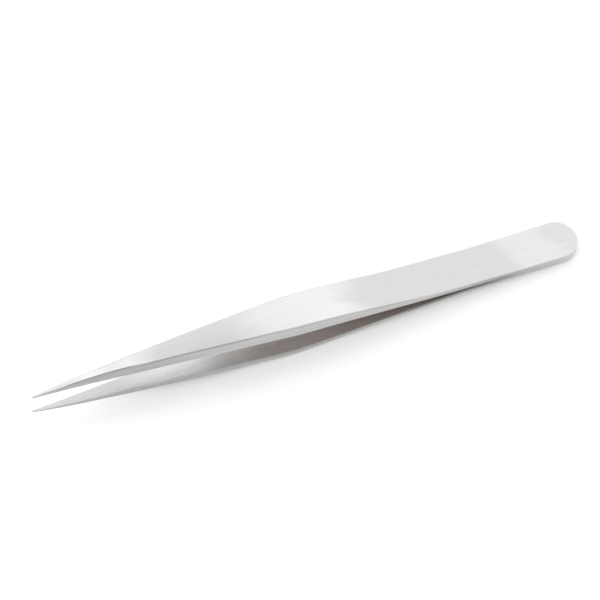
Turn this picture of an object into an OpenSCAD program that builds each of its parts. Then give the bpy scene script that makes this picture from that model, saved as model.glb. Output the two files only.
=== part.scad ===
// Straight precision tweezers: two spring-steel arms spot welded at the tail.
// Millimetres.  The tool lies on its lower arm, +Z up, tips towards +X, and the
// origin is the middle of the footprint, on the surface it lies on.
//
// Every arm is drawn about the mid-plane of the tool, with X measured from the
// tail end.  The last step tilts the whole tool so that the tail and the belly
// of the lower arm both touch the surface.

/* [Overall] */
// tail end to tip
overall_length = 120; // [114:1:136]
// width across the arm at the tail
tail_width = 9.0; // [8:0.1:10]
// width at the waist, in the springy rear part
waist_width = 8.6; // [7:0.1:9]
// width at the belly, where the fingers press
belly_width = 9.0; // [8:0.1:10]
// width of the very tip
tip_width = 0.3; // [0.2:0.05:0.8]

/* [Plan outline] */
// distance from the tail end to the waist
waist_at = 25; // [20:1:30]
// distance from the tail end to the shoulder, where the taper starts
shoulder_at = 65; // [60:1:75]
// half length of the curve that rounds the shoulder
shoulder_blend = 3; // [1:0.5:6]

/* [Arm thickness] */
// thickness of the arm in the springy rear part
spring_thickness = 1.17; // [0.9:0.01:1.4]
// thickness at the belly
belly_thickness = 2.42; // [1.8:0.02:3]
// thickness of the very tip
tip_thickness = 0.3; // [0.2:0.05:0.6]
// where the arm starts to thicken
thicken_from = 32; // [30:1:40]
// where it is fully thick
thicken_to = 68; // [60:1:72]
// where it starts to thin towards the tip
thin_from = 77; // [74:1:90]
// how late the thinning comes: a higher number keeps the jaws thick for longer
thin_curve = 2.5; // [1.5:0.1:3.5]

/* [Opening] */
// length of the tail in which the two arms lie together
joint_length = 12.2; // [11:0.1:14]
// where the rear bend ends and the arm runs straight
rear_bend_to = 38.5; // [34:0.5:42]
// slope of the straight part away from the mid-plane
open_slope = 0.075; // [0.05:0.005:0.09]
// where the front bend starts
front_bend_from = 52; // [48:0.5:56]
// where the front bend ends and the jaws run nearly parallel
front_bend_to = 73.5; // [68:0.5:78]
// how far each jaw still opens along its flat
jaw_spread = 0.12; // [0:0.02:0.3]
// where the points start to curve in
point_from = 104.6; // [98:0.2:110]
// how far each point curves in
point_hook = 0.45; // [0:0.05:0.8]

/* [Ground flanks] */
// how far the outer edges are broken where there is no ground flank, in plan
edge_break = 0.06; // [0.04:0.01:0.15]
// width of the ground flank at the belly, in plan
flank_belly = 0.66; // [0.2:0.02:1]
// width of the ground flank along the jaws, in plan
flank_jaw = 0.58; // [0.2:0.02:1]
// where the flank starts
flank_from = 28.5; // [28:0.5:34]
// where it reaches its full width
flank_full_at = 53; // [48:1:58]
// share of the thickness that stays a square edge
edge_share = 0.42; // [0.2:0.02:0.6]
// share of the flank's width at which its ridge lies
ridge_in = 0.35; // [0.2:0.01:0.45]
// share of the flank's height at which its ridge lies
ridge_up = 0.62; // [0.55:0.01:0.8]
// share of the flank's width that is left at the tip
tip_flank_share = 0.08; // [0.05:0.01:0.3]

/* [Joint and flexure] */
// diameter of a weld nugget
nugget_d = 3.6; // [2:0.1:3.8]
// depth of a weld nugget, both arms together
nugget_depth = 1.0; // [0.4:0.1:1.4]
// distance from the tail end to the rear weld nugget
nugget_rear_at = 4.2; // [3.5:0.1:4.8]
// distance from the tail end to the front weld nugget
nugget_front_at = 9.2; // [8.8:0.1:10]
// distance from the tail end to the point about which a bending arm turns
pivot_at = 27; // [26:0.5:28]
// running clearance around the flexure knuckle
knuckle_gap = 0.03; // [0.02:0.01:0.06]
// how far the knuckle stays below the faces and sides of its arm
knuckle_inset = 0.03; // [0.02:0.01:0.06]

/* [Hidden] */
$fn = 96;
steel = [0.80, 0.80, 0.79];
steel_low = [0.70, 0.70, 0.69];
weld_grey = [0.50, 0.50, 0.52];
// distance between the cross-sections of a blade
station_step = 1;
// distance between the points along the side view of a tail
profile_step = 1;
// distance between the points along the top view of a tail
plan_step = 0.5;

// smooth step from 0 to 1 between a and b
function unit(a, b, x) = min(max((x - a) / (b - a), 0), 1);
function smooth(a, b, x) = let (u = unit(a, b, x)) u * u * (3 - 2 * u);
// distance climbed by a slope that grows evenly from 0 to 1 over a length
function ramp(u) = u <= 0 ? 0 : u < 1 ? u * u / 2 : u - 0.5;
function bend(from, to, x) = (to - from) * ramp((x - from) / (to - from));

// half width of the arm's inner face
function taper(x) =
    let (u = unit(shoulder_at - shoulder_blend, shoulder_at + shoulder_blend, x))
    x < shoulder_at + shoulder_blend ? shoulder_blend * u * u : x - shoulder_at;
function half_width(x) =
    (waist_width
     + (tail_width - waist_width) * (1 - smooth(0, waist_at, x))
     + (belly_width - waist_width) * smooth(waist_at, shoulder_at - 4, x)
     - (belly_width - tip_width) * taper(x) / (overall_length - shoulder_at)) / 2;
// how far the ground flank leans in, in plan
function flank(x) =
    (edge_break + (flank_belly - edge_break) * smooth(flank_from, flank_full_at, x)
     + (flank_jaw - flank_belly) * smooth(shoulder_at, thin_from, x))
    * max(1 - unit(point_from, overall_length, x), tip_flank_share);
// thickness of the arm
function thickness(x) =
    spring_thickness
    + (belly_thickness - spring_thickness) * smooth(thicken_from, thicken_to, x)
    - (belly_thickness - tip_thickness) * pow(unit(thin_from, overall_length, x), thin_curve);
// distance from the mid-plane to the inner face
function inner(x) =
    open_slope * (bend(joint_length, rear_bend_to, x) - bend(front_bend_from, front_bend_to, x))
    + jaw_spread * unit(front_bend_to, point_from, x)
    - point_hook * pow(unit(point_from, overall_length, x), 2);
function outer(x) = inner(x) + thickness(x);

pivot_z = (inner(pivot_at) + outer(pivot_at)) / 2;
knuckle_r = thickness(pivot_at) / 2 - knuckle_inset;

// tilt that lays the tail end and the belly on the surface
lie_slope = max([for (x = [40:0.25:90]) (outer(x) - spring_thickness) / x]);
lie_angle = atan(lie_slope);
low_x = -spring_thickness * sin(lie_angle);
high_x = overall_length * cos(lie_angle) + outer(overall_length) * sin(lie_angle);

// lays a piece that is drawn about the mid-plane on the surface
module lie() {
    translate([-(low_x + high_x) / 2, 0, spring_thickness * cos(lie_angle)])
        rotate([0, -lie_angle, 0])
            children();
}

// top view of the rear of an arm, with its round end
module tail_plan() {
    r = tail_width / 2;
    xs = [for (x = [r:plan_step:pivot_at]) x];
    translate([r, 0]) circle(r = r);
    polygon(concat([for (x = xs) [x, -half_width(x)]],
                   [for (i = [len(xs) - 1:-1:0]) [xs[i], half_width(xs[i])]]));
}

// side view of the rear of an arm, flat where the two arms are joined and then
// curving away from the mid-plane
module tail_profile() {
    end = pivot_at - knuckle_r / 2;
    bent = [for (x = [joint_length:profile_step:end - profile_step / 2]) x];
    xs = concat([0], bent, [end]);
    polygon(concat([for (x = xs) [x, inner(x)]],
                   [for (i = [len(xs) - 1:-1:0]) [xs[i], outer(xs[i])]]));
}

// a weld nugget is a flat lens of once-melted steel, centred on the mid-plane
module nugget(x) {
    r = nugget_d / 2;
    h = nugget_depth / 2;
    translate([x, 0, 0])
        rotate_extrude()
            polygon([[0, -h], [r - h, -h], [r, 0], [r - h, h], [0, h]]);
}

// round bar on the axis about which the arm turns
module knuckle(r, length) {
    translate([pivot_at, 0, pivot_z])
        rotate([90, 0, 0])
            cylinder(r = r, h = length, center = true);
}

// rear of an arm: joined tail plus the springy strip up to the flexure
module arm_tail() {
    difference() {
        intersection() {
            linear_extrude(height = tail_width) tail_plan();
            translate([0, tail_width, 0])
                rotate([90, 0, 0])
                    linear_extrude(height = 2 * tail_width) tail_profile();
        }
        knuckle(knuckle_r + knuckle_gap, 2 * tail_width);
        nugget(nugget_rear_at);
        nugget(nugget_front_at);
    }
}

// one side of a blade's cross-section, from the inner face up: square edge,
// ground flank with its ridge, outer face
function half_section(x) =
    let (w = half_width(x), d = flank(x), z = inner(x), t = thickness(x),
         edge = edge_share * t, ridge = edge + ridge_up * (t - edge))
    [[w, z], [w, z + edge], [w - ridge_in * d, z + ridge], [w - d, z + t]];
function section(x) =
    let (half = half_section(x))
    concat([for (p = half) [x, p[0], p[1]]],
           [for (i = [len(half) - 1:-1:0]) [x, -half[i][0], half[i][1]]]);

// front of an arm, from the flexure to the point, with its knuckle
module arm_blade() {
    count = round((overall_length - pivot_at) / station_step);
    stations = [for (i = [0:count]) pivot_at + i * (overall_length - pivot_at) / count];
    rings = [for (x = stations) each section(x)];
    n = len(section(pivot_at));
    sides = [for (i = [0:count - 1], k = [0:n - 1])
        let (a = n * i + k, b = n * i + (k + 1) % n)
            each [[a, b + n, b], [a, a + n, b + n]]];
    ends = [[for (k = [0:n - 1]) k], [for (k = [n - 1:-1:0]) n * count + k]];
    polyhedron(points = rings, faces = concat(sides, ends), convexity = 4);
    knuckle(knuckle_r, 2 * (half_width(pivot_at) - knuckle_inset));
}

module upper_arm_tail() {
    color(steel) lie() arm_tail();
}

module lower_arm_tail() {
    color(steel_low) lie() mirror([0, 0, 1]) arm_tail();
}

module weld_nugget_rear() {
    color(weld_grey) lie() nugget(nugget_rear_at);
}

module weld_nugget_front() {
    color(weld_grey) lie() nugget(nugget_front_at);
}

module upper_arm_blade() {
    color(steel) lie() arm_blade();
}

module lower_arm_blade() {
    color(steel_low) lie() mirror([0, 0, 1]) arm_blade();
}

upper_arm_tail();
lower_arm_tail();
weld_nugget_rear();
weld_nugget_front();
upper_arm_blade();
lower_arm_blade();
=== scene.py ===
"""Straight precision tweezers lying on a pale surface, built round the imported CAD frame.

Every size below is in millimetres unless it says metres, and a mesh is scaled to metres when
it is made.  An arm is drawn about the mid-plane of the tool, with X measured from the tail end,
and is then laid on the surface the way the CAD model lies.
"""
import math
import bmesh
import bpy
from mathutils import Matrix, Vector


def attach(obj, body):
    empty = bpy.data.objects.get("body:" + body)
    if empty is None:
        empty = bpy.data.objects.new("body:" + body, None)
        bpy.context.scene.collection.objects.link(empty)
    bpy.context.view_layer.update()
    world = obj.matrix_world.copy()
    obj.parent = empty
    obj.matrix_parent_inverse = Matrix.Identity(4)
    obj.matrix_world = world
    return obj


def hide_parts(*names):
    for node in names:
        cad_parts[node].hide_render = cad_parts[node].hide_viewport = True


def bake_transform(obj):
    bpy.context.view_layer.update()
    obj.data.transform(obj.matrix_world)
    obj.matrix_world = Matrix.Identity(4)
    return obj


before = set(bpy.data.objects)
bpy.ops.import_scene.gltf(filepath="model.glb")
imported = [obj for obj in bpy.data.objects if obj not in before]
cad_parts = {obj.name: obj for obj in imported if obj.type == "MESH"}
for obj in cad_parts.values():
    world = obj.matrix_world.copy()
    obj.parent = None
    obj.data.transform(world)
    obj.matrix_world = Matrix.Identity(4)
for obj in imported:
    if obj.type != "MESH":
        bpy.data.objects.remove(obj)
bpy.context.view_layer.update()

MM = 0.001

# ---------------------------------------------------------------- the arm's shape
TAIL_WIDTH = 9.0
WAIST_WIDTH = 8.6
BELLY_WIDTH = 9.0
TIP_WIDTH = 0.3
WAIST_AT = 25.0
SHOULDER_AT = 65.0
SHOULDER_BLEND = 3.0
LENGTH = 120.0

SPRING_THICKNESS = 1.17
BELLY_THICKNESS = 2.42
TIP_THICKNESS = 0.3
THICKEN_FROM, THICKEN_TO = 32.0, 68.0
THIN_FROM, THIN_CURVE = 77.0, 2.5

JOINT_LENGTH = 12.2
REAR_BEND_TO = 38.5
OPEN_SLOPE = 0.075
FRONT_BEND_FROM, FRONT_BEND_TO = 52.0, 73.5
JAW_SPREAD = 0.12
POINT_FROM, POINT_HOOK = 104.6, 0.45

# the flanks, as in the CAD model
FLANK_BELLY, FLANK_JAW = 0.66, 0.58
FLANK_FROM, FLANK_FULL_AT = 28.5, 53.0
EDGE_BREAK = 0.06
EDGE_SHARE = 0.42
RIDGE_IN, RIDGE_UP = 0.35, 0.62
TIP_FLANK_SHARE = 0.08
# the outer face falls off a little to its crests, more so towards the points
CROWN_FROM, CROWN_FULL_AT = 84.0, 102.0
CROWN_WIDTH, CROWN_DROP, CROWN_DROP_REAR = 0.45, 0.13, 0.03

NUGGET_AT = (4.2, 9.2)
NUGGET_D, NUGGET_DEPTH = 3.6, 1.0


def unit(a, b, x):
    return min(max((x - a) / (b - a), 0.0), 1.0)


def smooth(a, b, x):
    u = unit(a, b, x)
    return u * u * (3 - 2 * u)


def stretch(places, x):
    """1 between the middle two of four places, easing to 0 at the outer two."""
    start, full, fade, end = places
    return smooth(start, full, x) * (1 - smooth(fade, end, x))


def bend(a, b, x):
    """Height climbed by a slope that grows evenly from 0 to 1 between a and b."""
    u = (x - a) / (b - a)
    return (b - a) * (0.0 if u <= 0 else u * u / 2 if u < 1 else u - 0.5)


def plain_half_width(x):
    """Half width of the arm without its round end."""
    u = unit(SHOULDER_AT - SHOULDER_BLEND, SHOULDER_AT + SHOULDER_BLEND, x)
    taper = SHOULDER_BLEND * u * u if u < 1 else x - SHOULDER_AT
    full = (WAIST_WIDTH + (TAIL_WIDTH - WAIST_WIDTH) * (1 - smooth(0, WAIST_AT, x))
            + (BELLY_WIDTH - WAIST_WIDTH) * smooth(WAIST_AT, SHOULDER_AT - 4, x))
    return (full - (BELLY_WIDTH - TIP_WIDTH) * taper / (LENGTH - SHOULDER_AT)) / 2


def half_width(x):
    """Half width of the arm, with its round end."""
    end = TAIL_WIDTH / 2
    u = unit(0, end, x)
    return plain_half_width(x) * math.sqrt(max(0.0, 1 - (1 - u) ** 2))


def flank(x):
    """How far the ground flank leans in, seen from above."""
    inset = (EDGE_BREAK + (FLANK_BELLY - EDGE_BREAK) * smooth(FLANK_FROM, FLANK_FULL_AT, x)
             + (FLANK_JAW - FLANK_BELLY) * smooth(SHOULDER_AT, THIN_FROM, x))
    return inset * max(1 - unit(POINT_FROM, LENGTH, x), TIP_FLANK_SHARE)


def thickness(x):
    return (SPRING_THICKNESS
            + (BELLY_THICKNESS - SPRING_THICKNESS) * smooth(THICKEN_FROM, THICKEN_TO, x)
            - (BELLY_THICKNESS - TIP_THICKNESS) * unit(THIN_FROM, LENGTH, x) ** THIN_CURVE)


def inner(x):
    """Distance from the mid-plane to the arm's inner face."""
    return (OPEN_SLOPE * (bend(JOINT_LENGTH, REAR_BEND_TO, x)
                          - bend(FRONT_BEND_FROM, FRONT_BEND_TO, x))
            + JAW_SPREAD * unit(FRONT_BEND_TO, POINT_FROM, x)
            - POINT_HOOK * unit(POINT_FROM, LENGTH, x) ** 2)


def outer(x):
    return inner(x) + thickness(x)


# the tilt that lays the tail end and the belly on the surface, as in the CAD model
BELLY_PLACES = [40 + i / 4 for i in range(201)]
LIE = math.atan(max((outer(x) - SPRING_THICKNESS) / x for x in BELLY_PLACES))
LOW_X = -SPRING_THICKNESS * math.sin(LIE)
HIGH_X = LENGTH * math.cos(LIE) + outer(LENGTH) * math.sin(LIE)
LAY = (Matrix.Translation((-(LOW_X + HIGH_X) / 2 * MM, 0, SPRING_THICKNESS * math.cos(LIE) * MM))
       @ Matrix.Rotation(-LIE, 4, "Y") @ Matrix.Scale(MM, 4))


# ---------------------------------------------------------------- the arm's cross-section
# The corners of half a cross-section, from the middle of the inner face round to the middle of
# the outer face.  Each has its name, how much the surface before and after it counts as inner
# face and then as ground side, how worn it is (below 0 for dull), and how far its curve reaches.
CORNERS = (("inner_middle", (1, 1), (0, 0), 0.0, 0.0),
           ("inner_edge", (1, 0), (0, 1), 0.1, 0.02),
           ("land_top", (0, 0), (1, 1), -0.4, 0.10),
           ("ridge", (0, 0), (1, 0), 0.4, 0.10),
           ("crest", (0, 0), (0, 0), 1.0, 0.09),
           ("crown_start", (0, 0), (0, 0), 0.0, 0.18),
           ("outer_middle", (0, 0), (0, 0), 0.0, 0.0))
# near the points the crest is ground into a broader, softer one
SOFT_CREST, SOFT_CREST_AT = 0.20, (94, 102, 112, 118)
# a curve takes up at most this share of the straight on either side of its corner
CURVE_SHARE = 0.45
CURVE_STEPS = 3
# the curves and the crown shrink where the arm's half width comes below these
FINE_BELOW, CROWN_ROOM = 1.2, 0.9

# how much of the look of the facet between ridge and crest is that of a ground side: about a
# third, but on the +Y side all of it towards the points, where its darker tone is painted shade
FACET_SIDE = 0.35
FACET_DULL_SHADE_FROM, FACET_DULL_SHADE_TO = 86, 96

# Painted shade, on the +Y side only: along the inner edge, over the whole square edge (the land)
# and on the crest.  Below 0 is painted light instead.
EDGE_SHADE_TO = 96.0
UPPER_EDGE_SHADE = -0.6
LOWER_EDGE_SHADE, LOWER_EDGE_FULL_AT = 1.0, 20
REAR_EDGE_SHADE, REAR_FADE_FROM, REAR_FADE_TO = 0.6, 34, 44
LAND_SHADE, LAND_SHADE_AT = 2.4, (17, 25, 35, 44)
CREST_SHADE, CREST_SHADE_AT = 2.8, (95, 101, 111, 116)

# parts that each half of a flat face is cut into across the arm
FACE_SPLITS = 4


def shade_on_inner_edge(x, up):
    """How much painted shade the inner edge gets: between the joint and the jaws the upper arm's
    gets painted light instead and the lower arm's painted shade, most of all along the narrow rear
    of the gap."""
    if up > 0:
        amount = UPPER_EDGE_SHADE * smooth(JOINT_LENGTH, REAR_BEND_TO, x)
    else:
        amount = LOWER_EDGE_SHADE + REAR_EDGE_SHADE * (1 - smooth(REAR_FADE_FROM, REAR_FADE_TO, x))
        amount *= smooth(JOINT_LENGTH, LOWER_EDGE_FULL_AT, x)
    return amount * (1 - smooth(FRONT_BEND_TO, EDGE_SHADE_TO, x))


def shade_on_land(x, up):
    """How much painted shade the whole square edge gets: only the lower arm's, along the narrow
    rear of the gap."""
    return 0.0 if up > 0 else LAND_SHADE * stretch(LAND_SHADE_AT, x)


def roles(corner, u, x, up, near):
    """(inside, side, edge) at share u of the way round a corner.  The edge number is above 0
    where the metal is worn bright or has painted light, and below 0 where it is dull and where it
    has painted shade.  near is 1 on the +Y side of the tool, which alone gets the painted shade
    and light, and 0 on the other."""
    name, inside, (side_before, side_after), wear, _ = CORNERS[corner]
    # towards the points the +Y facet takes the side's duller roughness and, as painted shade, its
    # darker tone
    facet = FACET_SIDE + (1 - FACET_SIDE) * near * smooth(FACET_DULL_SHADE_FROM, FACET_DULL_SHADE_TO, x)
    if name == "ridge":
        side_after = facet
    if name == "crest":
        side_before = facet
        # painted shade along the crest on the +Y side near the points
        wear -= CREST_SHADE * stretch(CREST_SHADE_AT, x) * near
    edge = wear * 4 * u * (1 - u)
    # painted shade on the lower arm's +Y inner edge, painted light on the upper arm's
    if name == "inner_edge":
        edge -= shade_on_inner_edge(x, up) * near * u
    # painted shade on the lower arm's +Y land along the rear of the gap
    if name == "land_top":
        edge -= shade_on_land(x, up) * near * (1 - u)
    return (inside[0] + (inside[1] - inside[0]) * u,
            side_before + (side_after - side_before) * u, edge)


def rounded(corners, fine, x, up, near):
    """Points through the corners of half a cross-section, as ((x, y), roles), with each inner
    corner turned into a curve.  fine scales how far the curves reach."""
    points = [(corners[0], roles(0, 0, x, up, near))]
    for i in range(1, len(corners) - 1):
        name, _, _, _, reach = CORNERS[i]
        if name == "crest":
            reach += SOFT_CREST * stretch(SOFT_CREST_AT, x)
        a, b, c = (Vector(corners[k]) for k in (i - 1, i, i + 1))
        size = min(reach * fine, (a - b).length * CURVE_SHARE, (c - b).length * CURVE_SHARE)
        start = b + (a - b).normalized() * size
        stop = b + (c - b).normalized() * size
        for k in range(CURVE_STEPS + 1):
            u = k / CURVE_STEPS
            p = start * (1 - u) ** 2 + b * 2 * u * (1 - u) + stop * u * u
            points.append((tuple(p), roles(i, u, x, up, near)))
    return points + [(corners[-1], roles(len(corners) - 1, 1, x, up, near))]


def half_profile(x, w, up, near):
    """One side of the arm's cross-section as ((distance in from the edge, height above the inner
    face), roles)."""
    t, d = thickness(x), flank(x)
    edge = EDGE_SHARE * t
    ridge = edge + RIDGE_UP * (t - edge)
    slim = x > LENGTH / 2
    fine = min(1.0, w / FINE_BELOW) if slim else 1.0
    crown = CROWN_WIDTH * (min(1.0, (w - d) / CROWN_ROOM) if slim else 1.0)
    drop = CROWN_DROP_REAR + (CROWN_DROP - CROWN_DROP_REAR) * smooth(CROWN_FROM, CROWN_FULL_AT, x)
    drop *= crown / CROWN_WIDTH
    corners = [(w, 0), (0, 0), (0, edge), (RIDGE_IN * d, ridge), (d, t - drop),
               (d + crown, t), (w, t)]
    return rounded(corners, fine, x, up, near)


def section(x, k, xs, up):
    """Ring of (point, roles) round the arm at station k."""
    w = half_width(x)
    before, after = xs[max(k - 1, 0)], xs[min(k + 1, len(xs) - 1)]
    along = Vector((after - before, half_width(after) - half_width(before)))
    if k == 0:
        along = Vector((0, 1))
    out = Vector((-along.y, along.x)).normalized()
    # round the tail end an inset runs towards the middle of the turn, so there is room for it
    room = TAIL_WIDTH / 2 if x < TAIL_WIDTH / 2 else w
    shares = [i / FACE_SPLITS for i in range(FACE_SPLITS)]

    def half_ring(near):
        profile = half_profile(x, room, up, near)
        (low, low_role), (high, high_role) = profile[1], profile[-2]
        spots = [(low, low_role, share) for share in shares]
        spots += [(point, role, 1.0) for point, role in profile[1:-1]]
        spots += [(high, high_role, share) for share in shares[::-1]]
        hand = 1 if near else -1
        return [((x - inset * out.x, hand * share * max(w - inset * out.y, 0.0),
                  (inner(x) + z) * up), role) for (inset, z), role, share in spots]

    return half_ring(0) + half_ring(1)[-2:0:-1]


# ---------------------------------------------------------------- meshes
# spacing of the cross-sections: degrees round the tail end, then millimetres, then parts of
# the point
TURN_STEP, BODY_STEP, POINT_PARTS = 4, 0.5, 60
# steps, in degrees, of the curve that rounds off the very point
TIP_TURN = (20, 45, 65, 80)
# faces and edges smaller than this, in millimetres, are cleaned away
SMALLEST = 0.001


def stations():
    """Places along the arm: close together round the tail end and towards the point."""
    end = TAIL_WIDTH / 2
    turn = [end * (1 - math.cos(math.radians(a))) for a in range(0, 90, TURN_STEP)]
    body = [end + i * BODY_STEP for i in range(int((POINT_FROM - end) / BODY_STEP))]
    point = [POINT_FROM + (LENGTH - POINT_FROM) * i / POINT_PARTS for i in range(POINT_PARTS + 1)]
    return turn + body + point


def arm_rings(xs, up):
    rings = [section(x, k, xs, up) for k, x in enumerate(xs)]
    # the very point is rounded off over its own thickness
    tip = rings.pop()
    centre = sum((Vector(p) for p, role in tip), Vector()) / len(tip)
    for angle in TIP_TURN:
        shrink = math.cos(math.radians(angle))
        push = TIP_THICKNESS / 2 * (math.sin(math.radians(angle)) - 1)
        rings.append([(centre + Vector((push, *((Vector(p) - centre).yz * shrink))), role)
                      for p, role in tip])
    return rings


def tube_faces(count, n, flip):
    """Faces of a closed tube of count rings of n points, with both ends capped."""
    faces = [(n * i + k, n * i + (k + 1) % n, n * (i + 1) + (k + 1) % n, n * (i + 1) + k)
             for i in range(count - 1) for k in range(n)]
    faces += [tuple(range(n))[::-1], tuple(n * (count - 1) + k for k in range(n))]
    return faces if flip else [face[::-1] for face in faces]


def make_object(name, points, faces, marks):
    """A mesh object in metres from points about the mid-plane in millimetres.  marks gives the
    inside, side and edge numbers of each point, which the materials read."""
    mesh = bpy.data.meshes.new(name)
    mesh.from_pydata([LAY @ Vector(p) for p in points], [], faces)
    rest = mesh.attributes.new("rest_mm", "FLOAT_VECTOR", "POINT")
    rest.data.foreach_set("vector", [c for p in points for c in p])
    for i, mark in enumerate(("inside", "side", "edge")):
        layer = mesh.attributes.new(mark, "FLOAT", "POINT")
        layer.data.foreach_set("value", [m[i] for m in marks])
    for face in mesh.polygons:
        face.use_smooth = True
    obj = bpy.data.objects.new(name, mesh)
    bpy.context.scene.collection.objects.link(obj)
    return obj


def arm(name, up):
    """The whole arm as one mesh.  up is 1 for the upper arm and -1 for the lower one."""
    xs = stations()
    rings = arm_rings(xs, up)
    n = len(rings[0])
    points = [p for ring in rings for p, role in ring]
    marks = [role for ring in rings for p, role in ring]
    obj = make_object(name, points, tube_faces(len(rings), n, up < 0), marks)
    # U runs round the arm and V along it, so the tangent lies across the grain
    mesh = obj.data
    uv = mesh.uv_layers.new(name="round_and_along")
    for face in mesh.polygons:
        places = [divmod(mesh.loops[i].vertex_index, n) for i in face.loop_indices]
        wraps = {k for ring, k in places} == {0, n - 1}
        for i, (ring, k) in zip(face.loop_indices, places):
            around = n if wraps and k == 0 else k
            uv.data[i].uv = (around / n, xs[min(ring, len(xs) - 1)] / LENGTH)
    return obj


def clean(obj):
    """Merges points that all but coincide, on the round end, at the tip and round the seats, and
    drops the faces that vanish with them."""
    bm = bmesh.new()
    bm.from_mesh(obj.data)
    bmesh.ops.remove_doubles(bm, verts=bm.verts, dist=SMALLEST * MM)
    bmesh.ops.dissolve_degenerate(bm, edges=bm.edges, dist=SMALLEST * MM)
    bmesh.ops.recalc_face_normals(bm, faces=bm.faces)
    bm.to_mesh(obj.data)
    bm.free()


def even_shading(obj):
    """Lets the large faces decide the shading, so that the flats look flat."""
    normal = obj.modifiers.new("even_shading", "WEIGHTED_NORMAL")
    normal.keep_sharp = True
    normal.weight = 100


# half the outline of a weld lens, as shares of its radius and of its half depth
LENS = ((0.02, 1.00), (0.25, 1.00), (0.50, 0.96), (0.70, 0.82), (0.86, 0.55), (0.96, 0.25),
        (1.00, 0.0))
LENS_SIDES = 72
# how far its rim wanders, as a share of its radius
RIM_WANDER = 0.012


def lens(name, at, grow):
    """A weld nugget on the mid-plane, or with grow the cutter of its seat.  Its rim wanders a
    little, as melted metal does."""
    outline = list(LENS)
    outline += [(r, -h) for r, h in reversed(outline[:-1])]
    points = []
    for r, h in outline:
        for k in range(LENS_SIDES):
            a = 2 * math.pi * k / LENS_SIDES
            waves = 2 + math.sin(3 * a + at) + 0.6 * math.sin(7 * a + 2 * at)
            radius = (NUGGET_D / 2 * (1 - RIM_WANDER * waves) + grow) * r
            points.append((at + radius * math.cos(a), radius * math.sin(a),
                           (NUGGET_DEPTH / 2 + grow) * h))
    faces = tube_faces(len(outline), LENS_SIDES, False)
    obj = make_object(name, points, faces, [(1, 0, 0)] * len(points))
    clean(obj)
    return obj


def cut_seats(obj, cutters):
    """Cuts the seats of the weld nuggets into an arm's inner face."""
    for cutter in cutters:
        cut = obj.modifiers.new("seat", "BOOLEAN")
        cut.operation = "DIFFERENCE"
        cut.solver = "EXACT"
        cut.object = cutter
    seen = obj.evaluated_get(bpy.context.evaluated_depsgraph_get())
    mesh = bpy.data.meshes.new_from_object(seen)
    obj.modifiers.clear()
    obj.data = mesh


# ---------------------------------------------------------------- material nodes
def new_material(name):
    mat = bpy.data.materials.new(name)
    mat.use_nodes = True
    return mat, mat.node_tree, mat.node_tree.nodes["Principled BSDF"]


def put(nt, kind, inputs, **settings):
    """Adds a node.  Each input is either a socket to link or a plain value."""
    node = nt.nodes.new("ShaderNode" + kind)
    for name, value in settings.items():
        setattr(node, name, value)
    for key, value in inputs.items():
        if isinstance(value, bpy.types.NodeSocket):
            nt.links.new(value, node.inputs[key])
        else:
            node.inputs[key].default_value = value
    return node


def calc(nt, operation, a, b=0.0, clamp=False):
    return put(nt, "Math", {0: a, 1: b}, operation=operation, use_clamp=clamp).outputs[0]


def spread(nt, value, low, high):
    """Turns a 0 to 1 value into one between low and high."""
    return put(nt, "MapRange", {"Value": value, "To Min": low, "To Max": high}).outputs["Result"]


def step(nt, value, start, stop):
    """Smooth step from 0 at start to 1 at stop."""
    return put(nt, "MapRange", {"Value": value, "From Min": start, "From Max": stop},
               interpolation_type="SMOOTHSTEP").outputs["Result"]


def scaled(nt, colour, factor):
    return put(nt, "VectorMath", {0: colour, "Scale": factor}, operation="SCALE").outputs[0]


def mix_colour(nt, factor, a, b):
    """Goes from colour a to colour b.  Each is a socket or a plain (r, g, b)."""
    node = put(nt, "Mix", {0: factor}, data_type="RGBA")
    for key, value in ((6, a), (7, b)):
        if isinstance(value, bpy.types.NodeSocket):
            nt.links.new(value, node.inputs[key])
        else:
            node.inputs[key].default_value = (*value, 1)
    return node.outputs[2]


def mix_value(nt, factor, a, b):
    return put(nt, "Mix", {0: factor, 2: a, 3: b}, data_type="FLOAT").outputs[0]


def attribute(nt, name):
    return put(nt, "Attribute", {}, attribute_name=name).outputs["Fac"]


def rest_place(nt):
    """Where a point lies on the unbent tool, in millimetres about the mid-plane."""
    return put(nt, "Attribute", {}, attribute_name="rest_mm").outputs["Vector"]


def grain(nt, place, scale, detail, seed):
    """Noise stretched by scale, in features per millimetre along, across and up."""
    moved = put(nt, "Mapping", {"Vector": place, "Scale": scale, "Location": (seed, seed * 2, 0)})
    return put(nt, "TexNoise", {"Vector": moved.outputs[0], "Scale": 1.0, "Detail": detail,
                                "Roughness": 0.6}).outputs["Fac"]


def tone_ramp(nt, along, tones):
    """Colour by distance along the arm, easing from one (place, colour) to the next."""
    ramp = put(nt, "ValToRGB", {"Fac": along})
    stops = ramp.color_ramp
    stops.interpolation = "EASE"
    while len(stops.elements) < len(tones):
        stops.elements.new(1.0)
    for element, (place, colour) in zip(stops.elements, tones):
        element.position = place / LENGTH
        element.color = (*colour, 1)
    return ramp.outputs["Color"]


def grey(level):
    return (level, level, level * 0.993)


# ---------------------------------------------------------------- satin steel
# painted reflection: how bright each stretch of the outer face looks, by place along the arm,
# standing in for the light and dark it mirrors
OUTER_TONES = ((0, grey(0.68)), (4, grey(0.67)), (8, grey(0.73)), (12, grey(0.73)),
               (17, grey(0.65)), (47, grey(0.645)), (56, grey(0.79)), (67, grey(0.76)),
               (80, grey(0.61)), (92, grey(0.62)), (100, grey(0.79)), (104, grey(0.75)),
               (108, grey(0.84)), (114, grey(0.72)), (120, grey(0.68)))
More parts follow.
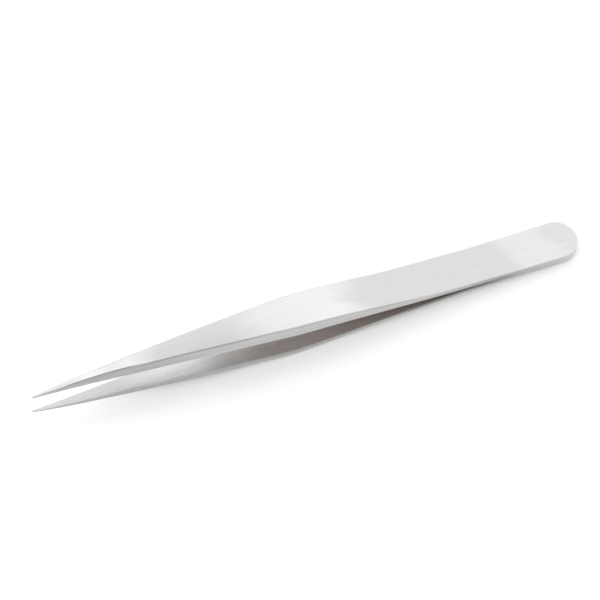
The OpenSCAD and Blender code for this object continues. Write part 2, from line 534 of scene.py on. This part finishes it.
# the inner face is dull and brownish in the rear, darker there also as painted shade of the narrow
# gap, and ground bright towards the points
INNER_TONES = ((0, (0.54, 0.51, 0.47)), (46, (0.54, 0.51, 0.47)), (66, (0.57, 0.55, 0.53)),
               (71, (0.54, 0.53, 0.51)), (78, grey(0.64)), (85, grey(0.76)), (92, grey(0.74)),
               (101, grey(0.62)), (120, grey(0.65)))
INNER_POLISH_FROM, INNER_POLISH_TO = 66.0, 88.0
BLOTCH_TONE = (0.38, 0.33, 0.30)
PATCH_TONE = (0.50, 0.41, 0.41)
# the sides are duller and darker towards the points, with painted shade darkest about X 20 by the
# rear of the gap; only the round end is a little brighter
SIDE_TONES = ((0, grey(0.74)), (5, grey(0.64)), (12, grey(0.52)), (20, grey(0.43)),
              (32, grey(0.54)), (40, grey(0.57)), (80, grey(0.55)), (95, grey(0.47)),
              (120, grey(0.47)))
# tone of worn edges, and of the painted light along the upper arm's +Y inner edge
EDGE_TONE = grey(0.80)
# how much of the crests' wear is left on the last stretch, and the length of the change
FRESH_WEAR, FRESH_OVER = 0.2, 8
# tone of the dull corners and of the painted shade along the gap and on the +Y crests
DULL_AND_SHADE_TONE = (0.26, 0.25, 0.245)
# share of the dull-and-shade tone for an edge number of -1
DULL_AND_SHADE_PER_EDGE = 0.6
# the tones' borders waver by this many millimetres and slant by this much per millimetre
WAVER, SLANT = 5.0, 0.25
# painted shade: on this stretch of the taper the outer face gets darker per millimetre towards +Y
LEAN_AT, LEAN = (72.0, 80.0, 94.0, 100.0), -0.028
GRAIN_DEPTH = 0.002


def outer_face(nt, split, along):
    """The outer face's painted reflection tones, with painted shade along its +Y edge on the first
    half of the taper.
    """
    length, width = split.outputs["X"], split.outputs["Y"]
    start, full, fade, end = LEAN_AT
    jaw = calc(nt, "MULTIPLY", step(nt, length, start, full), step(nt, length, end, fade))
    lean = calc(nt, "MULTIPLY", jaw, calc(nt, "MULTIPLY", width, LEAN))
    return scaled(nt, tone_ramp(nt, along, OUTER_TONES), calc(nt, "ADD", lean, 1.0))


def inner_face(nt, place, polish, along):
    """The inner face's tones under small blotches and wider patches, which polish takes away."""
    mottle = grain(nt, place, (1.6, 2.4, 2.4), 3.0, 5.9)
    patch = grain(nt, place, (0.45, 0.70, 0.70), 2.0, 4.4)
    blotches = calc(nt, "MULTIPLY", step(nt, mottle, 0.35, 0.65), spread(nt, polish, 0.5, 0.02))
    patches = calc(nt, "MULTIPLY", step(nt, patch, 0.45, 0.58), spread(nt, polish, 0.3, 0.0))
    colour = mix_colour(nt, blotches, tone_ramp(nt, along, INNER_TONES), BLOTCH_TONE)
    return mix_colour(nt, patches, colour, PATCH_TONE)


def wear_and_light_share(nt, edge, coarse, length):
    """How much a worn edge, or the painted light on the upper arm's inner edge, shows: unevenly,
    and less on the freshly ground last stretch.
    """
    worn_or_lit = calc(nt, "MULTIPLY", edge, spread(nt, coarse, 0.1, 1.0), clamp=True)
    fresh = step(nt, length, CROWN_FULL_AT - FRESH_OVER, CROWN_FULL_AT)
    return calc(nt, "MULTIPLY", worn_or_lit, spread(nt, fresh, 1.0, FRESH_WEAR))


def satin_steel():
    """Spring steel with a fine grain along the arm, duller ground sides and worn edges, and with
    painted reflection, shade and light in its colour.
    """
    mat, nt, shader = new_material("satin_steel")
    place = rest_place(nt)
    split = put(nt, "SeparateXYZ", {0: place})
    length, width = split.outputs["X"], split.outputs["Y"]
    inside, side, edge = (attribute(nt, name) for name in ("inside", "side", "edge"))
    fine = grain(nt, place, (0.10, 9.0, 9.0), 3.0, 3.1)
    coarse = grain(nt, place, (0.04, 1.6, 1.6), 4.0, 7.7)
    cloud = grain(nt, place, (0.09, 0.22, 0.22), 2.0, 1.3)
    polish = step(nt, length, INNER_POLISH_FROM, INNER_POLISH_TO)
    worn_or_lit = wear_and_light_share(nt, edge, coarse, length)

    # the tones run into each other along wavering, slanting borders
    along = calc(nt, "ADD", length, spread(nt, cloud, -WAVER, WAVER))
    along = calc(nt, "ADD", along, calc(nt, "MULTIPLY", width, SLANT))
    along = calc(nt, "DIVIDE", along, LENGTH, clamp=True)
    colour = outer_face(nt, split, along)
    colour = mix_colour(nt, inside, colour, inner_face(nt, place, polish, along))
    colour = mix_colour(nt, side, colour, tone_ramp(nt, along, SIDE_TONES))
    # worn edges, and the painted light along the upper arm's +Y inner edge, turn bright
    colour = mix_colour(nt, worn_or_lit, colour, EDGE_TONE)
    # dull corners and painted shade darken the colour
    dull_or_shade = calc(nt, "MULTIPLY", edge, -DULL_AND_SHADE_PER_EDGE, clamp=True)
    colour = mix_colour(nt, dull_or_shade, colour, DULL_AND_SHADE_TONE)
    streak = calc(nt, "ADD", spread(nt, fine, -0.06, 0.06), spread(nt, coarse, -0.05, 0.05))
    streak = calc(nt, "ADD", streak, spread(nt, cloud, 0.97, 1.03))
    nt.links.new(scaled(nt, colour, streak), shader.inputs["Base Color"])

    rough = mix_value(nt, inside, spread(nt, cloud, 0.24, 0.34), spread(nt, polish, 0.42, 0.27))
    rough = mix_value(nt, side, rough, 0.38)
    rough = mix_value(nt, worn_or_lit, rough, 0.20)
    rough = calc(nt, "ADD", rough, spread(nt, fine, -0.05, 0.05))
    nt.links.new(rough, shader.inputs["Roughness"])

    height = calc(nt, "ADD", fine, calc(nt, "MULTIPLY", coarse, 1.5))
    strength = mix_value(nt, inside, 0.5, 0.2)
    bump = put(nt, "Bump", {"Height": height, "Strength": strength, "Distance": GRAIN_DEPTH * MM})
    nt.links.new(bump.outputs[0], shader.inputs["Normal"])
    across = put(nt, "Tangent", {}, direction_type="UV_MAP", uv_map="round_and_along")
    nt.links.new(across.outputs[0], shader.inputs["Tangent"])
    shader.inputs["Metallic"].default_value = 1.0
    shader.inputs["Anisotropic"].default_value = 0.7
    return mat


# ---------------------------------------------------------------- weld steel
WELD_TONE = (0.50, 0.49, 0.48)
WELD_BLOTCH_TONE = (0.40, 0.35, 0.28)
WELD_RIM_TONE = (0.24, 0.26, 0.34)
# how far from the middle the blue of the rim starts, and radians of ripple to a millimetre
WELD_RIM_FROM = 1.2
RIPPLES = 16.0
RIPPLE_DEPTH = 0.01


def from_axis(nt, split, at):
    """Distance from the upright line through the middle of the arm at X = at."""
    dx = calc(nt, "SUBTRACT", split.outputs["X"], at)
    flat = put(nt, "CombineXYZ", {"X": dx, "Y": split.outputs["Y"]}).outputs[0]
    return put(nt, "VectorMath", {0: flat}, operation="LENGTH").outputs["Value"]


def weld_steel():
    """Once-melted steel: matte, with ripples round the middle and a faint heat tint."""
    mat, nt, shader = new_material("weld_steel")
    place = rest_place(nt)
    split = put(nt, "SeparateXYZ", {0: place})
    radius = calc(nt, "MINIMUM", *(from_axis(nt, split, at) for at in NUGGET_AT))
    blotch = grain(nt, place, (0.8, 0.8, 0.8), 3.0, 2.3)
    pits = grain(nt, place, (6.0, 6.0, 6.0), 3.0, 8.1)
    ripple = calc(nt, "SINE", calc(nt, "MULTIPLY", radius, RIPPLES))
    tint = mix_colour(nt, spread(nt, blotch, 0.0, 1.0), WELD_TONE, WELD_BLOTCH_TONE)
    rim = put(nt, "MapRange", {"Value": radius, "From Min": WELD_RIM_FROM,
                               "From Max": NUGGET_D / 2}).outputs[0]
    tint = mix_colour(nt, calc(nt, "MULTIPLY", rim, 0.5), tint, WELD_RIM_TONE)
    nt.links.new(tint, shader.inputs["Base Color"])
    nt.links.new(spread(nt, pits, 0.42, 0.62), shader.inputs["Roughness"])
    height = calc(nt, "ADD", pits, calc(nt, "MULTIPLY", ripple, 0.5))
    bump = put(nt, "Bump", {"Height": height, "Strength": 0.6, "Distance": RIPPLE_DEPTH * MM})
    nt.links.new(bump.outputs[0], shader.inputs["Normal"])
    shader.inputs["Metallic"].default_value = 1.0
    return mat


# ---------------------------------------------------------------- pieces
# play of a nugget in its seat
SEAT_PLAY = 0.01
NUGGETS = (("weld_nugget_rear", NUGGET_AT[0]), ("weld_nugget_front", NUGGET_AT[1]))

satin, weld = satin_steel(), weld_steel()
cutters = [lens(name + "_seat", at, SEAT_PLAY) for name, at in NUGGETS]
for name, up in (("upper_arm", 1), ("lower_arm", -1)):
    piece = arm(name, up)
    clean(piece)
    cut_seats(piece, cutters)
    clean(piece)
    even_shading(piece)
    piece.data.materials.append(satin)
    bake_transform(piece)
    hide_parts(name + "_tail", name + "_blade")
for cutter in cutters:
    bpy.data.objects.remove(cutter)
for name, at in NUGGETS:
    piece = lens(name + "_lens", at, 0.0)
    piece.data.materials.append(weld)
    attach(piece, "joined_tail")
    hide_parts(name)

# ---------------------------------------------------------------- floor, light, camera
# how far the floor reaches from the middle, and what the camera sees between, all in metres
FLOOR_REACH = 3.0
CLIP_START, CLIP_END = 0.01, 20.0
FLOOR_TONE = (0.98, 0.98, 0.98)
FLOOR_GLOW = 0.10
WORLD_STRENGTH = 1.16
PATCH_DEPTH = 0.6
# where the camera looks from, in degrees, and in millimetres what it looks at and from how far
CAMERA_AROUND, CAMERA_ABOVE, CAMERA_ROLL = 157.59, 57.45, 0.24
CAMERA_AIM, CAMERA_DISTANCE = (0.33, -3.70, 6.87), 840.0
CAMERA_LENS, CAMERA_SENSOR = 247.0, 36.0


def pale_floor():
    """A wide pale plane with a faint glow of its own, which lightens the shadow on it."""
    mesh = bpy.data.meshes.new("floor")
    s = FLOOR_REACH
    mesh.from_pydata([(-s, -s, 0), (s, -s, 0), (s, s, 0), (-s, s, 0)], [], [(0, 1, 2, 3)])
    mat, _, shader = new_material("floor")
    shader.inputs["Base Color"].default_value = (*FLOOR_TONE, 1)
    shader.inputs["Roughness"].default_value = 0.9
    shader.inputs["Emission Color"].default_value = (1, 1, 1, 1)
    shader.inputs["Emission Strength"].default_value = FLOOR_GLOW
    mesh.materials.append(mat)
    obj = bpy.data.objects.new("floor", mesh)
    bpy.context.scene.collection.objects.link(obj)
    return obj


def studio_light():
    """Even white light from all round, with a darker patch part way up on the viewer's side."""
    world = bpy.data.worlds.new("studio")
    world.use_nodes = True
    nt = world.node_tree
    towards = put(nt, "TexCoord", {}).outputs["Generated"]
    split = put(nt, "SeparateXYZ", {0: towards})
    height, viewer = split.outputs["Z"], split.outputs["Y"]
    patch = calc(nt, "MULTIPLY", step(nt, height, 0.02, 0.15), step(nt, height, 0.80, 0.35))
    patch = calc(nt, "MULTIPLY", patch, step(nt, viewer, -0.1, 0.6))
    light = calc(nt, "SUBTRACT", 1.0, calc(nt, "MULTIPLY", patch, PATCH_DEPTH))
    back = nt.nodes["Background"]
    nt.links.new(put(nt, "CombineColor", {0: light, 1: light, 2: light}).outputs[0],
                 back.inputs["Color"])
    back.inputs["Strength"].default_value = WORLD_STRENGTH
    bpy.context.scene.world = world


def camera():
    """A long lens on the +Y side, a little towards the points and well above."""
    data = bpy.data.cameras.new("camera")
    cam = bpy.data.objects.new("camera", data)
    bpy.context.scene.collection.objects.link(cam)
    data.lens = CAMERA_LENS
    data.sensor_width = CAMERA_SENSOR
    data.clip_start = CLIP_START
    data.clip_end = CLIP_END
    around, above = math.radians(CAMERA_AROUND), math.radians(CAMERA_ABOVE)
    back = Vector((math.sin(around) * math.cos(above), -math.cos(around) * math.cos(above),
                   math.sin(above)))
    cam.location = (Vector(CAMERA_AIM) + back * CAMERA_DISTANCE) * MM
    cam.rotation_mode = "QUATERNION"
    roll = Matrix.Rotation(math.radians(CAMERA_ROLL), 3, "Z").to_quaternion()
    cam.rotation_quaternion = (-back).to_track_quat("-Z", "Y") @ roll
    return cam


floor = pale_floor()
studio_light()
bpy.context.scene.camera = camera()
bpy.context.scene.view_settings.view_transform = "Standard"
